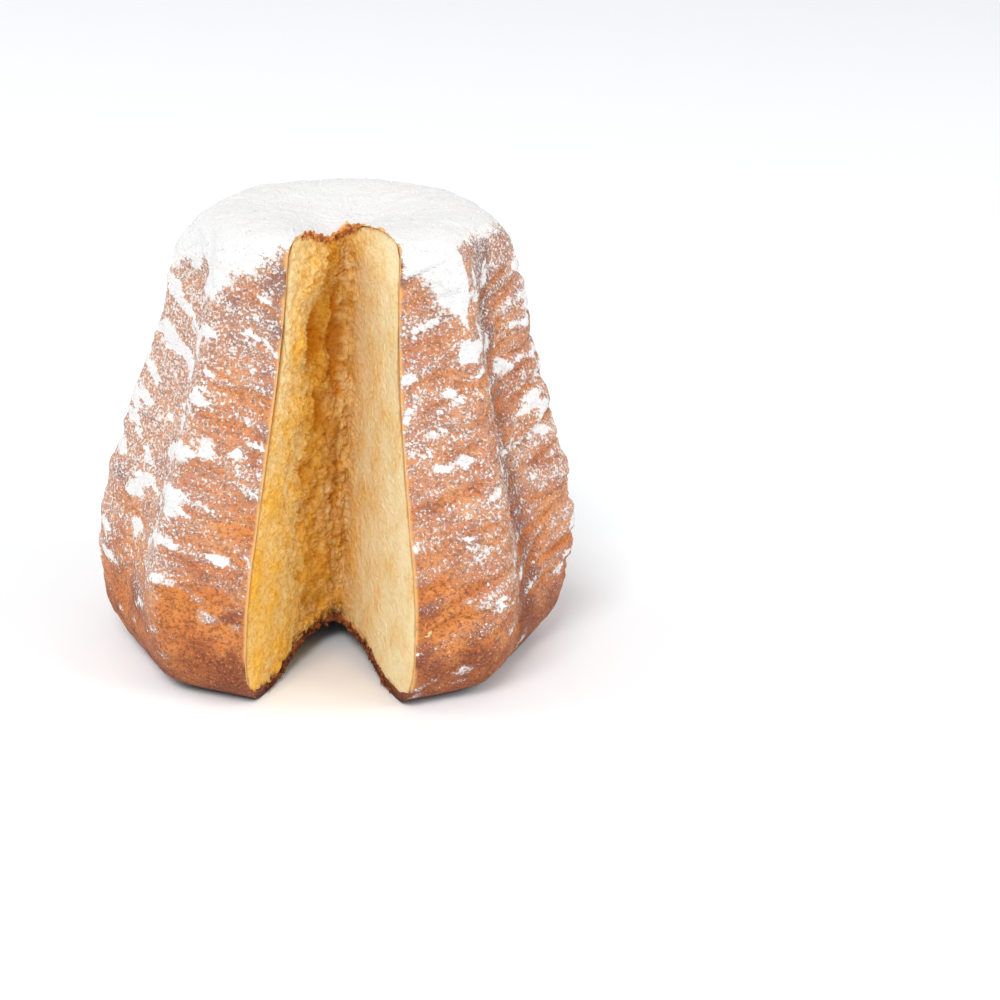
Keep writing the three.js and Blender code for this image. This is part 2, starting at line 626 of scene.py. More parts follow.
@dataclass(frozen=True)
class CrustFinish:
    """Orange-brown baked crust under icing sugar, with painted shade in its valleys and a painted highlight
    on its ridges.
    """

    tan: Colour = (0.56, 0.165, 0.045, 1)
    orange: Colour = (0.72, 0.250, 0.058, 1)
    glow: Colour = (0.80, 0.34, 0.100, 1)
    brown: Colour = (0.240, 0.060, 0.027, 1)
    burnt: Colour = (0.075, 0.021, 0.009, 1)
    cut_edge: Colour = (0.86, 0.47, 0.16, 1)
    sugar: Colour = (0.88, 0.855, 0.83, 1)
    settled: Colour = (0.77, 0.77, 0.77, 1)
    mottle: Cloud = Cloud(0.020, 5, 0.36, 0.64)
    streaks: Cloud = Cloud(0.0055, 6, 0.48, 0.72, 0.66, (1, 1, 2.2))
    bright: Cloud = Cloud(0.011, 5, 0.54, 0.70, 0.60, (1, 1, 1.6))
    pores: Cloud = Cloud(0.0016, 3, 0.49, 0.60, 0.50)
    flecks: Cloud = Cloud(0.0012, 2, 0.57, 0.67, 0.50)

    def build(self) -> bpy.types.Material:
        """Builds the finish, which reads bake, sugar and cut_edge from the piece.

        Returns:
            The material.
        """
        f = Finish("baked_crust")
        bake, dusting, edge = f.kept("bake"), f.kept("sugar"), f.kept("cut_edge")
        colour = f.blend(f.patches(self.mottle), self.tan, self.orange)
        colour = f.blend(f.patches(self.streaks), colour, self.brown)
        colour = f.blend(f.patches(self.bright), colour, self.glow)
        # bake holds painted shade in the valleys and a painted highlight along the ridges, besides the bake
        # itself
        colour = f.blend(f.step(bake, 0.12, 0.80), colour, self.brown)
        colour = f.blend(f.patches(self.pores), colour, self.burnt)
        colour = f.blend(f.patches(self.flecks), colour, self.glow)
        colour = f.blend(f.step(bake, 0.70, 1.0), colour, self.burnt)
        colour = f.blend(f.times(edge, f.step(bake, 0.7, 0.4)), colour, self.cut_edge)
        lying = self._lying(f, dusting)
        white = f.blend(f.step(dusting, 0.80, 1.0), self.sugar, self.settled)
        covered = f.number("MAXIMUM", f.times(lying, 0.97), f.times(dusting, 0.33))
        colour = f.blend(covered, colour, white)
        skin = f.relief(f.noise(0.0022, 5, (1, 1, 1.6)), 0.0010)
        rough = f.number("ADD", 0.62, f.times(lying, 0.33))
        return f.finish(colour, rough, f.relief(lying, 0.0003, skin))

    def _lying(self, f: Finish, dusting: bpy.types.NodeSocket) -> bpy.types.NodeSocket:
        """Where sugar lies: ragged solid patches, and speckle round them.

        Args:
            f: the material under construction.
            dusting: how thickly the sugar has fallen.

        Returns:
            The socket of the cover, from 0 to 1.
        """
        ragged = f.number("ADD", f.times(f.noise(0.0045, 5), 0.50), f.times(f.noise(0.0014, 3), 0.50))
        solid = f.step(f.number("ADD", ragged, f.times(dusting, 0.40)), 0.750, 0.785)
        speck = f.number("ADD", f.noise(0.0012, 6), f.times(dusting, 0.26))
        speckle = f.times(f.step(speck, 0.58, 0.68), f.step(dusting, 0.01, 0.12))
        return f.number("MAXIMUM", solid, f.times(speckle, 0.74))


@dataclass(frozen=True)
class CrumbFinish:
    """Open golden crumb, paler where knife-cut and deeper where torn, with painted shade and highlight."""

    cream: Colour = (0.885, 0.765, 0.465, 1)
    gold: Colour = (0.81, 0.435, 0.052, 1)
    amber: Colour = (0.64, 0.235, 0.008, 1)
    toasted_and_crease_shade: Colour = (0.42, 0.16, 0.032, 1)
    burnt: Colour = (0.13, 0.036, 0.012, 1)
    mottle: Cloud = Cloud(0.009, 3, 0.48, 0.72, 0.26)
    cells: Cloud = Cloud(0.0023, 3, 0.48, 0.62)
    light: Cloud = Cloud(0.0019, 2, 0.53, 0.64, 0.20)

    def build(self) -> bpy.types.Material:
        """Builds the finish, which reads torn, hollow, rim and base_rim from the piece.

        Returns:
            The material.
        """
        f = Finish("golden_crumb")
        torn = f.kept("torn")
        # torn is partly painted shade: the whole left face and the crease are drawn a deeper gold
        colour = f.blend(torn, self.cream, self.gold)
        colour = f.blend(f.patches(self.mottle), colour, self.gold)
        dark = f.times(f.patches(self.cells), f.step(torn, -0.3, 0.9))
        colour = f.blend(f.times(dark, 0.55), colour, self.amber)
        colour = f.blend(f.patches(self.light), colour, self.cream)
        # hollow is painted shade: amber in recesses, between lumps and along the crease
        colour = f.blend(f.kept("hollow"), colour, self.amber)
        # rim is the crumb toasted next to the crust, plus painted shade along the crease
        colour = f.blend(f.times(f.kept("rim"), 0.70), colour, self.toasted_and_crease_shade)
        colour = f.blend(f.kept("base_rim"), colour, self.burnt)
        f.shader.inputs["Subsurface Weight"].default_value = 0.25
        f.shader.inputs["Subsurface Radius"].default_value = (1.0, 0.55, 0.2)
        f.shader.inputs["Subsurface Scale"].default_value = 0.003
        return f.finish(colour, 0.88, f.relief(f.noise(0.0019, 3), 0.0011))


@dataclass(frozen=True)
class SugarFinish:
    """Loose icing sugar: white, dull and powdery."""

    white: Colour = (0.80, 0.80, 0.80, 1)
    shade: Colour = (0.76, 0.755, 0.755, 1)
    mottle: Cloud = Cloud(0.0025, 3, 0.4, 0.6)

    def build(self) -> bpy.types.Material:
        """Builds the finish."""
        f = Finish("icing_sugar")
        colour = f.blend(f.patches(self.mottle), self.white, self.shade)
        return f.finish(colour, 0.95, f.relief(f.noise(0.0005, 3), 0.0003))


@dataclass(frozen=True)
class FlakeFinish:
    """Loose bits of baked crust."""

    golden: Colour = (0.72, 0.30, 0.075, 1)
    brown: Colour = (0.36, 0.105, 0.030, 1)
    dark: Colour = (0.12, 0.032, 0.011, 1)
    mottle: Cloud = Cloud(0.004, 3, 0.42, 0.58)
    dark_mottle: Cloud = Cloud(0.005, 3, 0.42, 0.58)

    def build(self) -> bpy.types.Material:
        """Builds the finish, which reads bake from the piece."""
        f = Finish("crust_flakes")
        light = f.blend(f.patches(self.mottle), self.golden, self.brown)
        dark = f.blend(f.patches(self.dark_mottle), self.brown, self.dark)
        return f.finish(f.blend(f.kept("bake"), light, dark), 0.8, f.relief(f.noise(0.0006, 2), 0.0003))


@dataclass(frozen=True)
class TableFinish:
    """A plain white table top."""

    white: Colour = (0.925, 0.945, 0.965, 1)

    def build(self) -> bpy.types.Material:
        """Builds the finish."""
        return Finish("white_table").finish(self.white, 0.8)


# The crust


class Side(Enum):
    """The two knife-cut faces, seen from in front of the cut."""

    LEFT = -1
    RIGHT = 1


@dataclass(frozen=True)
class Wrinkles:
    """The skin's unevenness: its folds slant upwards round the loaf from the cut to the back."""

    slant: float = 0.034
    folds: Grain = Grain((0.048, 0.048, 0.0130), 3)
    creases: Grain = Grain((0.060, 0.060, 0.0150), 2, 3.9)
    lumps: Grain = Grain((0.017, 0.017, 0.014), 3, 0.7)
    fine: Grain = Grain((0.0060, 0.0060, 0.0046), 2, 1.3)
    jags: Grain = Grain((0.004, 0.004, 0.004), 3, 6.6)
    fold_height: float = 0.0013
    crease_depth: float = 0.0017
    lump_height: float = 0.0010
    fine_height: float = 0.00022
    jag_height: float = 0.0018
    ledge_step: float = 0.0016


@dataclass(frozen=True)
class Dusting:
    """Where the icing sugar lies, with heights as shares of the loaf's.

    It is settled down to a line that dips at the ridges. Below the line it thins out to a veil, with
    patches where it clumped.
    """

    clumps: Grain = Grain((0.015, 0.015, 0.0085), 6, 8.3)
    drifts: Grain = Grain((0.020, 0.020, 0.026), 3, 5.2)
    patches: Grain = Grain((0.045, 0.045, 0.045), 2, 2.1)
    line: float = 0.975
    dip: float = 0.07
    dip_right: float = 0.10
    patch_height: float = 0.0004
    settled_height: float = 0.0006


class Skin:
    """The fine skin's vertices: where each one is on the loaf, and the noise there."""

    def __init__(
        self, piece: bpy.types.Object, shape: LoafShape, wrinkles: Wrinkles, dusting: Dusting
    ) -> None:
        """Reads the vertices.

        Args:
            piece: the skin.
            shape: the loaf.
            wrinkles: the skin's unevenness.
            dusting: the sugar's.
        """
        self.places = places = coordinates(piece)
        self.normals = read(piece.data.vertices, "normal", 3)
        self.turn, self.reach, climb = shape.polar(places)
        self.climb = climb / shape.height
        self.from_cut = (np.abs(self.turn) - shape.half) * self.reach
        self.off_ridge = shape.off_ridge(self.turn) / shape.half
        self.right = 0.5 + 0.5 * np.sin(self.turn)
        self.upright = ease(0.08, 0.20, self.climb) * ease(1.0, 0.93, self.climb)
        self.under = ease(-0.55, -0.92, self.normals[:, 2])
        self.crown = ease(0.50, 0.80, self.normals[:, 2])
        raised = wrinkles.slant * np.abs(self.turn)
        slanted = places - raised[:, None] * np.array([0, 0, 1])
        step = np.array([0, 0, wrinkles.ledge_step])
        self.folds = wrinkles.folds.at(slanted)
        ledge = wrinkles.folds.at(slanted - step) - wrinkles.folds.at(slanted + step)
        creases = ease(0.14, 0.0, np.abs(wrinkles.creases.at(slanted)))
        self.creases = creases * (0.3 + 0.7 * self.right)
        self.lumps = wrinkles.lumps.at(places)
        self.fine = wrinkles.fine.at(places)
        self.ledge = ease(0.06, 0.34, ledge) * self.upright
        hidden = 0.6 * ease(0.06, 0.34, -ledge) * self.upright
        self.bare = np.maximum(hidden, self.creases * self.upright)
        self.clump = 1.15 * dusting.clumps.at(slanted)
        self.drift = 0.9 * dusting.drifts.at(places)
        self.patchy = dusting.patches.at(places)
        self.shaded = ease(0.60, 0.95, self.off_ridge) * ease(0.80, 0.95, self.right)
        self.smooth = self.spot(-0.66, 0.23, 0.15, 0.11)
        self.blotch = self.spot(-0.46, 0.18, 0.09, 0.08) * ease(-0.4, 0.2, self.lumps + self.drift)

    def spot(self, turn: float, climb: float, wide: float, tall: float) -> np.ndarray:
        """A soft oval spot on the flank: 1 in its middle and 0 outside."""
        return ease(1.0, 0.3, np.hypot((self.turn - turn) / wide, (self.climb - climb) / tall))


@dataclass
class Crust:
    """The baked skin: raised ring by ring, opened at the missing point and given its thickness."""

    shape: LoafShape
    axis: tuple[float, float]
    wrinkles: Wrinkles = Wrinkles()
    dusting: Dusting = Dusting()
    columns: int = 48
    fineness: int = 3
    side_thickness: float = 0.0008
    backing: float = 0.0045
    base_thickness: float = 0.0050
    base_rings: tuple[float, ...] = (0.0085, 0.020, 0.034, 0.045, 0.058, 0.072)
    side_rows: tuple[float, ...] = (
        0.0, 0.012, 0.035, 0.075, 0.12, 0.17, 0.225, 0.28, 0.335, 0.39, 0.445, 0.50, 0.555, 0.61, 0.665,
        0.72, 0.775, 0.825, 0.87, 0.91, 0.942, 0.967, 0.985, 0.9935, 0.9985, 1.0,
    )
    crown_rings: tuple[float, ...] = (0.037, 0.028, 0.020, 0.0135, 0.0085)
    crown_middle: float = 0.0005

    def build(self) -> bpy.types.Object:
        """Builds the closed crust at its place in the frame.

        Returns:
            The crust's object.
        """
        outer = self.raise_skin("crust")
        inner = self.raise_skin("crust_inside")
        self._thin(inner)
        self._divide_edge(inner)
        self._bake_inside(inner)
        work_on(outer)
        smooth = outer.modifiers.new("rounding", "SUBSURF")
        smooth.levels = smooth.render_levels = self.fineness
        bpy.ops.object.modifier_apply(modifier=smooth.name)
        self._true_up(outer)
        self._dress(outer)
        self._close(outer, inner)
        settle(outer, self.axis, CrustFinish().build())
        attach(outer, BODY)
        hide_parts(NODE)
        return outer

    def rings(self) -> list[tuple[float, float]]:
        """The rings from the middle of the base to the middle of the crown.

        Returns:
            For each, its radius at a ridge and its height.
        """
        base = [(reach, float(self.shape.sunk(reach))) for reach in self.base_rings]
        rows = np.array(self.side_rows) * self.shape.height
        side = [(float(r), float(z)) for r, z in zip(self.shape.side(rows), rows)]
        crown = [(reach, float(self.shape.dished(reach))) for reach in (*self.crown_rings, self.crown_middle)]
        return base + side + crown

    def raise_skin(self, name: str) -> bpy.types.Object:
        """Raises the star-shaped skin ring by ring from a disc at the middle of the base.

        Args:
            name: the new object's name.

        Returns:
            The open skin, with the missing point's faces taken out.
        """
        rings = self.rings()
        first, base = rings[0]
        clear_selection()
        bpy.ops.mesh.primitive_circle_add(
            vertices=self.columns, radius=first, fill_type="TRIFAN", location=(0, 0, base)
        )
        piece = bpy.context.object
        piece.name = name
        bpy.ops.object.transform_apply(location=True, rotation=True, scale=True)
        pick(piece, "VERT", lambda vertex: vertex.co.xy.length > first / 2)
        for (reach, height), (next_reach, next_height) in zip(rings, rings[1:]):
            bpy.ops.mesh.extrude_region_move(TRANSFORM_OT_translate={"value": (0, 0, next_height - height)})
            share = next_reach / reach
            bpy.ops.transform.resize(value=(share, share, 1), center_override=(0, 0, next_height))
        bpy.ops.mesh.edge_collapse()
        close_mesh()
        self._draw_in_valleys(piece)
        self._face_outwards(piece)
        self._take_out_point(piece)
        return piece

    def _draw_in_valleys(self, piece: bpy.types.Object) -> None:
        """Draws every ring in to a star and gives it the loaf's swelling and lean.

        Args:
            piece: the skin while its rings are still round.
        """
        places = coordinates(piece)
        climb = places[:, 2]
        turn = np.arctan2(places[:, 0], -places[:, 1])
        star = self.shape.star(turn, self.shape.valley(climb)) * self.shape.swelling(turn, climb)
        reach = np.hypot(places[:, 0], places[:, 1]) * star
        places = self.shape.placed(turn, reach, climb)
        places[:, 2] -= self.shape.crumbled(turn, reach) * ease(0.93, 0.975, climb / self.shape.height)
        place_vertices(piece, places)

    def _face_outwards(self, piece: bpy.types.Object) -> None:
        """Turns every face of the whole, closed skin outwards."""
        open_mesh(piece)
        bpy.ops.mesh.select_all(action="SELECT")
        bpy.ops.mesh.remove_doubles(threshold=TINY)
        bpy.ops.mesh.normals_make_consistent(inside=False)
        close_mesh()

    def _take_out_point(self, piece: bpy.types.Object) -> None:
        """Takes out the faces of the missing point, from the torn end outwards.

        Args:
            piece: the whole, closed skin.
        """
        inner = max(self.base_rings[0], self.crown_rings[-1]) * 1.02

        def missing(face: bmesh.types.BMFace) -> bool:
            """Whether a face's middle lies in the missing point."""
            turn, reach, _ = self.shape.polar(np.array([face.calc_center_median()]))
            return bool(abs(turn[0]) < self.shape.half and reach[0] > inner)

        pick(piece, "FACE", missing)
        bpy.ops.mesh.delete(type="FACE")
        close_mesh()

    def _thin(self, piece: bpy.types.Object) -> None:
        """Moves a skin in by the crust's thickness, towards the axis and the middle height.

        Args:
            piece: the copy of the skin that becomes the crust's inner side.
        """
        height = self.shape.height
        turn, reach, climb = self.shape.polar(coordinates(piece))
        near_foot = 1 - ease(0.0, 0.05 * height, climb - self.shape.sunk(reach))
        near_crown = ease(0.93 * height, height, climb)
        level = np.clip(near_foot + near_crown, 0, 1)
        behind = (np.abs(turn) - self.shape.half) * reach
        backed = self.backing * ease(0.0, 0.012, behind)
        sideways = self.side_thickness * np.sqrt(1 - 0.5 * level) + backed
        sideways = np.where(reach > 0.3 * self.shape.belly_radius, sideways, 0)
        share = np.clip(1 - sideways / np.maximum(reach, TINY), 0.2, 1)
        places = self.shape.placed(turn, reach * share, climb)
        places[:, 2] += near_foot * self.base_thickness - near_crown * (self.side_thickness + 0.7 * backed)
        place_vertices(piece, places)

    def _divide_edge(self, inner: bpy.types.Object) -> None:
        """Turns the inner side's faces in, and divides its open edge as finely as the outer side's."""
        open_mesh(inner)
        bpy.ops.mesh.select_all(action="SELECT")
        bpy.ops.mesh.flip_normals()
        pick_open_edges(inner)
        bpy.ops.mesh.subdivide(number_cuts=2**self.fineness - 1)
        close_mesh()

    def _bake_inside(self, inner: bpy.types.Object) -> None:
        """Keeps the bake and the cut edge on the inner side, which shows at the cut rim."""
        climb = coordinates(inner)[:, 2] / self.shape.height
        low = ease(0.075, 0.03, climb)
        store(inner, "sugar", np.zeros(len(climb)))
        store(inner, "bake", 0.35 + 0.40 * low)
        store(inner, "cut_edge", 1.0 - low)

    def _true_up(self, piece: bpy.types.Object) -> None:
        """Moves the rounded flanks back out to the loaf's own radius, which rounding draws in at a ridge.

        Args:
            piece: the fine outer skin.
        """
        turn, reach, height = self.shape.polar(coordinates(piece))
        climb = height / self.shape.height
        wanted = self.shape.radius(turn, height)
        on_flank = ease(0.004, 0.03, climb) * ease(0.97, 0.93, climb) * ease(0.86, 0.92, reach / wanted)
        share = 1 + on_flank * (wanted / np.maximum(reach, TINY) - 1)
        place_vertices(piece, self.shape.placed(turn, reach * share, height))

    def _close(self, outer: bpy.types.Object, inner: bpy.types.Object) -> None:
        """Joins the two sides and bridges their open edges with the cut rim.

        Args:
            outer: the fine outer side, which becomes the whole crust.
            inner: the inner side.
        """
        work_on(outer)
        inner.select_set(True)
        bpy.ops.object.join()
        pick_open_edges(outer)
        bpy.ops.mesh.mark_sharp()
        bpy.ops.mesh.bridge_edge_loops()
        close_mesh()

    def _dress(self, piece: bpy.types.Object) -> None:
        """Wrinkles the fine skin and keeps its bake with painted shade and highlight, sugar and cut edge for
        the finish.

        Args:
            piece: the fine outer skin.
        """
        skin = Skin(piece, self.shape, self.wrinkles, self.dusting)
        sugar, thickness = self._dust(skin)
        places = skin.places + skin.normals * (self._wrinkle(skin) + thickness)[:, None]
        top_edge = ease(0.88, 0.94, skin.climb) * ease(0.0, 0.5, skin.normals[:, 2])
        jagged = ease(0.0018, 0.0, skin.from_cut) * (skin.reach < 0.075) * top_edge
        places[:, 2] += jagged * (self.wrinkles.jag_height * self.wrinkles.jags.at(places) - 0.0004)
        place_vertices(piece, places)
        store(piece, "sugar", sugar)
        store(piece, "bake", self._bake(skin))
        at_cut = ease(0.0016, 0.0, skin.from_cut + 0.0008 * skin.fine)
        store(piece, "cut_edge", at_cut * (skin.reach > 0.02))

    def _wrinkle(self, skin: Skin) -> np.ndarray:
        """How far the bare skin rises: less at the cut, the foot, the base and the crown.

        Args:
            skin: the fine skin's vertices.

        Returns:
            Heights along the normals.
        """
        w = self.wrinkles
        rise = (w.fold_height * skin.folds - w.crease_depth * skin.creases) * skin.upright
        rise = rise + w.lump_height * skin.lumps + w.fine_height * skin.fine
        rise = rise * (0.30 + 0.70 * ease(0.0, 0.006, skin.from_cut)) * (1 - 0.85 * skin.under)
        return rise * (0.2 + 0.8 * ease(0.0, 0.012, skin.climb)) * (1 - 0.55 * skin.crown)

    def _dust(self, skin: Skin) -> tuple[np.ndarray, np.ndarray]:
        """Lets the icing sugar fall.

        Args:
            skin: the fine skin's vertices.

        Returns:
            How much sugar shows, from 0 to 1, and how thickly it lies.
        """
        d, climb, turn, to_ridge = self.dusting, skin.climb, skin.turn, 1 - skin.off_ridge
        far_left = ease(-0.75, -0.81, turn) * ease(-2.2, -1.4, turn)
        far_right = ease(0.75, 0.81, turn) * ease(2.2, 1.4, turn)
        line = d.line - (d.dip + d.dip_right * ease(0.4, 0.7, skin.right)) * to_ridge
        line = line + (d.line - line) * far_right - 0.04 * far_left
        line = line + 0.018 * skin.drift - 0.020 * skin.clump
        settled = ease(-0.060, 0.030, climb - line)
        flank = 0.38 + 0.26 * np.abs(1 - 2 * skin.right) ** 1.5 + 0.34 * far_left
        flank = flank * ease(0.06, 0.45, climb) + 0.22 * ease(0.62, 0.92, climb)
        flank = flank + 0.16 * ease(0.45, 0.0, skin.off_ridge) + 0.10 * far_left + 0.34 * skin.patchy
        flank = flank + 0.06 + 0.34 * skin.ledge - 0.50 * skin.smooth - 0.50 * skin.bare
        flank = np.clip(flank - 0.22 * skin.shaded, 0, 0.9) * ease(0.03, 0.26, climb)
        patch = ease(-0.05, 0.42, skin.clump - (0.58 - 0.58 * flank))
        sugar = np.maximum.reduce([0.52 * flank, patch * (0.62 + 0.5 * flank), settled, skin.crown])
        sugar = sugar * (1 - skin.under) * ease(-0.0008, 0.0012, skin.from_cut + 0.0016 * skin.fine)
        deep = settled * (1 + 0.8 * skin.drift) * (1 - 0.6 * skin.crown)
        return sugar, d.patch_height * patch * (1 - skin.under) + d.settled_height * deep

    def _bake(self, skin: Skin) -> np.ndarray:
        """How dark the skin is baked, with painted shade in the valleys and a painted highlight along the
        ridges.

        Args:
            skin: the fine skin's vertices.

        Returns:
            Numbers from 0 to 1.
        """
        climb, off = skin.climb, skin.off_ridge
        bake = 0.14 + 0.50 * ease(0.28, 0.0, climb) + 0.26 * ease(0.72, 0.95, climb)
        bake = bake + 0.30 * skin.lumps + 0.14 * skin.folds + 0.10 * skin.drift
        # Painted light: the valleys are drawn darker as painted shade and the ridge crests lighter as a
        # painted highlight.
        raised = 0.18 * ease(0.60, 0.95, off) - 0.16 * ease(0.20, 0.0, off)
        bake = bake + (raised - 0.40 * skin.bare + 0.10 * skin.ledge) * skin.upright
        bake = bake + 0.34 * skin.shaded - 0.22 * skin.smooth + 0.80 * skin.blotch
        return np.maximum(np.clip(bake, 0, 0.70), skin.under)


# The crumb


@dataclass(frozen=True)
class Hollow:
    """A deep place torn into a cut face: where its middle is, how big it is, and how deep."""

    reach: float
    climb: float
    width: float
    tall: float
    depth: float


@dataclass(frozen=True)
class CrumbGrain:
    """The crumb's unevenness, from lumps down to fibres, and its two sizes of pits."""

    lumps: Grain = Grain((0.013, 0.013, 0.017), 3)
    tufts: Grain = Grain((0.0050, 0.0050, 0.0060), 3, 0.4)
    fibres: Grain = Grain((0.0014, 0.0014, 0.0015), 2, 0.9)
    clumps: Granules = Granules(0.0050, 3.1)
    beads: Granules = Granules(0.0018, 0.9)
    large: Pits = Pits(0.0060, 0.38)
    small: Pits = Pits(0.0026, 0.50, 0.5)
    warp: float = 0.0012
    deepest: float = 0.0085
    highest: float = 0.0040


class Front:
    """The fine front of the cut: where each vertex is, and the noise there.

    u runs across the cut, from 0 at the left edge to 1 at the right one, and v runs up, from 0 at the foot
    to 1 at the crown.
    """

    def __init__(self, piece: bpy.types.Object, crumb: "Crumb") -> None:
        """Reads the vertices.

        Args:
            piece: the lining.
            crumb: its maker.
        """
        self.on = np.zeros(len(piece.data.vertices), bool)
        for face in piece.data.polygons:
            if face.material_index == 0:
                self.on[list(face.vertices)] = True
        flat = read(piece.data.attributes["across"].data, "vector", 3)[self.on]
        self.u, self.v = u, v = np.clip(flat[:, 0], 0, 1), np.clip(flat[:, 1], 0, 1)
        self.places = places = crumb.sheet(u, v)
        self.turn, self.reach, self.climb = crumb.shape.polar(places)
        self.left = ease(0.49, 0.42, u)
        self.crease = ease(0.30, 0.44, u) * ease(0.66, 0.54, u)
        fluff = (0.55 + 0.45 * ease(0.08, 0.30, u)) * (0.50 + 0.50 * ease(0.2, 0.6, v))
        self.rip = np.clip(self.left * fluff + 0.85 * self.crease, 0, 1)
        grain = crumb.grain
        self.lumps, self.tufts = grain.lumps.at(places), grain.tufts.at(places)
        self.fibres = grain.fibres.at(places)
        warped = places + np.stack([self.tufts, self.lumps, -self.tufts], 1) * grain.warp
        self.clumps, self.beads = grain.clumps.at(warped), grain.beads.at(warped)
        self.pits = (0.0004 + 0.0008 * self.rip) * grain.large.at(places) + 0.0003 * grain.small.at(places)
        # brown: a real recess along the torn end, which the rim colour also darkens as painted shade in the
        # crease
        torn = ease(0.62, 0.54, u) * ease(0.43, 0.49, u) * ease(0.10, 0.35, v) * ease(0.99, 0.88, v)
        self.brown = torn * ease(-0.35, 0.45, self.lumps + 0.8 * self.tufts)


@dataclass
class Crumb:
    """Half of the cut's lining: a closed slab behind the surface, over a span of the cut's width."""

    shape: LoafShape
    torn: TornEnd
    axis: tuple[float, float]
    name: str
    span: tuple[float, float]
    grain: CrumbGrain = CrumbGrain()
    knots: tuple[float, ...] = (0.0, 0.42, 0.50, 0.58, 1.0)
    foot: float = 0.004
    head: float = 0.994
    across: int = 15
    up: int = 48
    cuts: int = 9
    slab: float = 0.008
    set_in: float = 0.0012
    recess: float = 0.0001
    hollows: tuple[Hollow, ...] = (
        Hollow(0.030, 0.158, 0.0065, 0.014, 0.0075),
        Hollow(0.036, 0.187, 0.010, 0.009, -0.0030),
        Hollow(0.014, 0.150, 0.005, 0.022, 0.0050),
        Hollow(0.026, 0.118, 0.006, 0.009, 0.0035),
        Hollow(0.012, 0.085, 0.004, 0.020, 0.0040),
        Hollow(0.040, 0.096, 0.005, 0.006, 0.0025),
    )

    def edge(self, side: Side, v: np.ndarray) -> tuple[np.ndarray, np.ndarray]:
        """The outer edge of one cut face, a little inside the crust.

        Args:
            side: which face.
            v: how far up the edge, from 0 at the foot to 1 at the crown.

        Returns:
            Radii from the axis, and heights.
        """
        climb = self.shape.height * (self.foot + (self.head - self.foot) * v)
        turn = np.full_like(climb, side.value * self.shape.half)
        return self.shape.radius(turn, climb) - self.set_in, climb

    def sheet(self, u: np.ndarray, v: np.ndarray) -> np.ndarray:
        """The undisturbed surface of the cut.

        Args:
            u: how far across, from 0 at the left edge to 1 at the right edge.
            v: how far up, from 0 at the foot to 1 at the crown.

        Returns:
            One row per point, from the axis.
        """
        shape, knots = self.shape, self.knots
        foot, top = shape.hollow + self.set_in, shape.height - shape.dish - self.set_in
        inner_climb = foot + v * (top - foot)
        corners = self.torn.corners(shape, inner_climb)
        out = np.zeros((len(u), 3))
        for side, corner in ((Side.LEFT, corners[0]), (Side.RIGHT, corners[2])):
            share = (knots[1] - u) / knots[1] if side is Side.LEFT else (u - knots[3]) / (1 - knots[3])
            on, s, turn = share >= 0, np.clip(share, 0, 1), side.value * shape.half
            outer_reach, outer_climb = self.edge(side, v)
            inner_reach = np.hypot(corner[:, 0], corner[:, 1])
            reach = inner_reach + (outer_reach - inner_reach) * s
            climb = inner_climb + (outer_climb - inner_climb) * s
            low = np.maximum(shape.sunk(reach) + self.set_in, 0.0008)
            high = shape.top(reach, turn) - self.set_in - shape.crumbled(turn, reach)
            climb = climb + (low - foot * (1 - s) - self.foot * shape.height * s) * (1 - v) ** 3
            climb = climb + (high - top * (1 - s) - self.head * shape.height * s) * v**5
            out[on] = np.stack([reach * math.sin(turn), -reach * math.cos(turn), climb], 1)[on]
        for first in (0, 1):
            start, end = knots[first + 1], knots[first + 2]
            on = (u > start) & (u <= end) if first else (u >= start) & (u <= end)
            s = np.clip((u - start) / (end - start), 0, 1)[:, None]
            plan = corners[first] + (corners[first + 1] - corners[first]) * s
            turn, reach = np.arctan2(plan[:, 0], -plan[:, 1]), np.hypot(plan[:, 0], plan[:, 1])
            climb = inner_climb - shape.crumbled(turn, reach) * v**5
            out[on] = np.column_stack([plan, climb])[on]
        out[:, 0] += shape.lean * out[:, 2] / shape.height
        return out

    def build(self) -> bpy.types.Object:
        """Builds the crumb lining at its place in the frame.

        Returns:
            The crumb's object.
        """
        clear_selection()
        bpy.ops.mesh.primitive_grid_add(x_subdivisions=self.across, y_subdivisions=self.up, size=1)
        piece = bpy.context.object
        piece.name = self.name
        flat = coordinates(piece) + 0.5
        flat[:, 0] = self.span[0] + (self.span[1] - self.span[0]) * flat[:, 0]
        place_vertices(piece, self.sheet(flat[:, 0], flat[:, 1]))
        for name in ("front", "back"):
            piece.data.materials.append(bpy.data.materials.new(name))
        across = piece.data.attributes.new("across", "FLOAT_VECTOR", "POINT")
        across.data.foreach_set("vector", flat.astype(np.float32).ravel())
        slab = piece.modifiers.new("slab", "SOLIDIFY")
        slab.thickness, slab.offset, slab.use_even_offset = self.slab, self._back_sign(piece), True
        slab.material_offset = slab.material_offset_rim = 1
        bpy.ops.object.modifier_apply(modifier=slab.name)
        pick(piece, "FACE", lambda face: face.material_index == 0)
        bpy.ops.mesh.subdivide(number_cuts=self.cuts, smoothness=0)
        close_mesh()
        front = Front(piece, self)
        rise = self._carve(piece, front)
        self._tone(piece, front, rise)
        self._one_finish(piece)
        settle(piece, self.axis, CrumbFinish().build())
        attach(piece, BODY)
        return piece

    def _back_sign(self, piece: bpy.types.Object) -> float:
        """Which way the slab's thickness goes so that it lies behind the surface."""
        ahead = sum((face.normal.y * face.area for face in piece.data.polygons), 0.0)
        return -1.0 if ahead < 0 else 1.0

